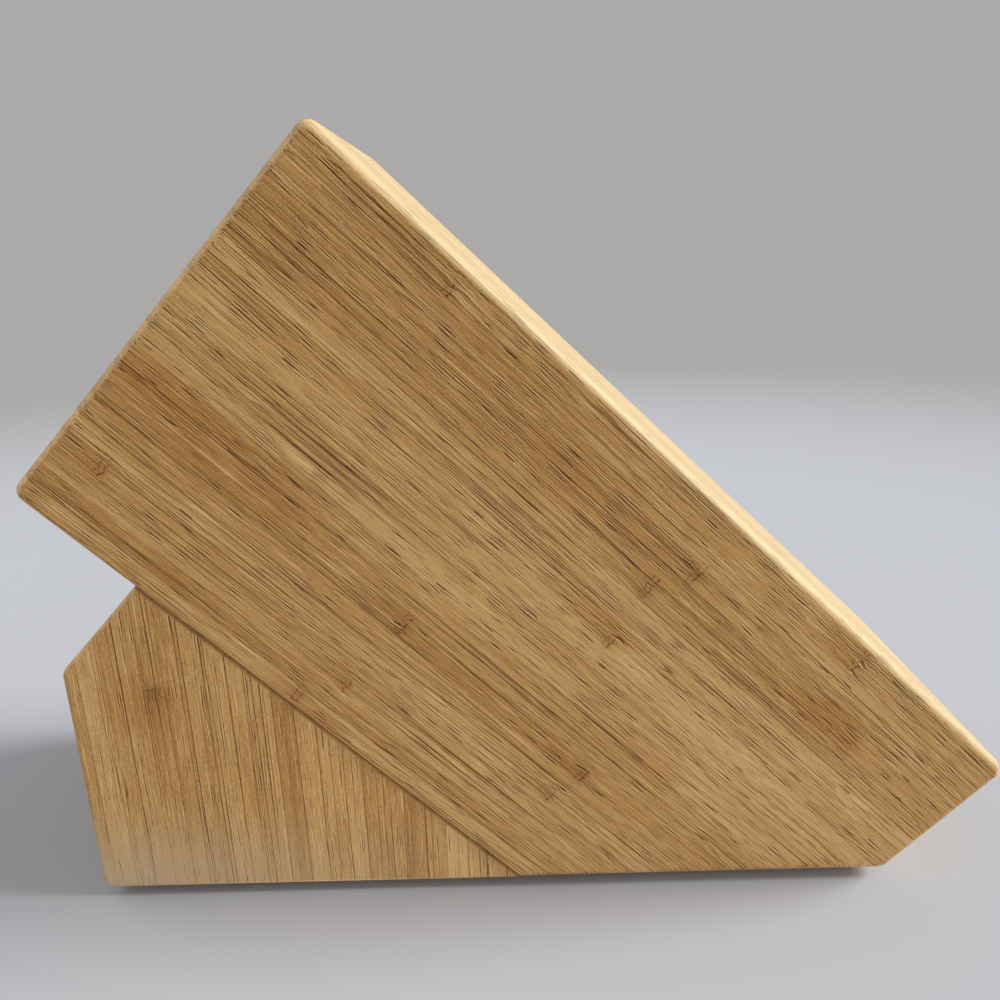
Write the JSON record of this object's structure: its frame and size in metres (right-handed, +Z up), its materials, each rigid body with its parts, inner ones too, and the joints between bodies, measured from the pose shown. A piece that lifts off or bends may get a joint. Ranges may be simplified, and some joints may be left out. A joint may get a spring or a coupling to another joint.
{
  "type": "knife block",
  "caption": "Empty slanted bamboo knife block: a leaning laminated body with knife, shears and steel slots, on a bevelled upright-grain foot and small rubber bumpers.",
  "frame": {"origin": "bottom centre of the object's box, on the surface it stands on", "axes": "+X along the object's length, from the slot face's side towards the low end of the long back; +Y across the width, away from the near side board; +Z up"},
  "size_m": [0.311, 0.112, 0.2486],
  "materials": {
    "side_bamboo": "satin oiled flat-grain bamboo",
    "divider_bamboo": "satin oiled bamboo",
    "rail_bamboo": "satin oiled pale bamboo",
    "foot_bamboo": "satin oiled upright-grain bamboo",
    "dowel_beech": "plain turned beech",
    "bumper_rubber": "matte black rubber",
    "screw_steel": "zinc plated"
  },
  "bodies": {
    "root": {"bumper_1": "bumper_rubber", "bumper_2": "bumper_rubber", "bumper_3": "bumper_rubber", "bumper_4": "bumper_rubber", "bumper_screw_1": "screw_steel", "bumper_screw_2": "screw_steel", "bumper_screw_3": "screw_steel", "bumper_screw_4": "screw_steel", "divider_1": "divider_bamboo", "divider_2": "divider_bamboo", "divider_3": "divider_bamboo", "divider_4": "divider_bamboo", "dowel_1": "dowel_beech", "dowel_2": "dowel_beech", "dowel_3": "dowel_beech", "dowel_4": "dowel_beech", "foot_board_1": "foot_bamboo", "foot_board_2": "foot_bamboo", "foot_board_3": "foot_bamboo", "foot_board_4": "foot_bamboo", "foot_board_5": "foot_bamboo", "foot_board_6": "foot_bamboo", "rail_1_1": "rail_bamboo", "rail_1_2": "rail_bamboo", "rail_1_3": "rail_bamboo", "rail_1_4": "rail_bamboo", "rail_2_1": "rail_bamboo", "rail_2_2": "rail_bamboo", "rail_2_3": "rail_bamboo", "rail_2_4": "rail_bamboo", "rail_3_1": "rail_bamboo", "rail_3_2": "rail_bamboo", "rail_3_3": "rail_bamboo", "rail_4_1": "rail_bamboo", "rail_4_2": "rail_bamboo", "rail_4_3": "rail_bamboo", "rail_4_4": "rail_bamboo", "rail_5_1": "rail_bamboo", "rail_5_2": "rail_bamboo", "rail_5_3": "rail_bamboo", "rail_5_4": "rail_bamboo", "side_board_far": "side_bamboo", "side_board_near": "side_bamboo", "tail_1": "rail_bamboo", "tail_2": "rail_bamboo", "tail_3": "rail_bamboo", "tail_4": "rail_bamboo", "tail_5": "rail_bamboo"}
  },
  "joints": []
}
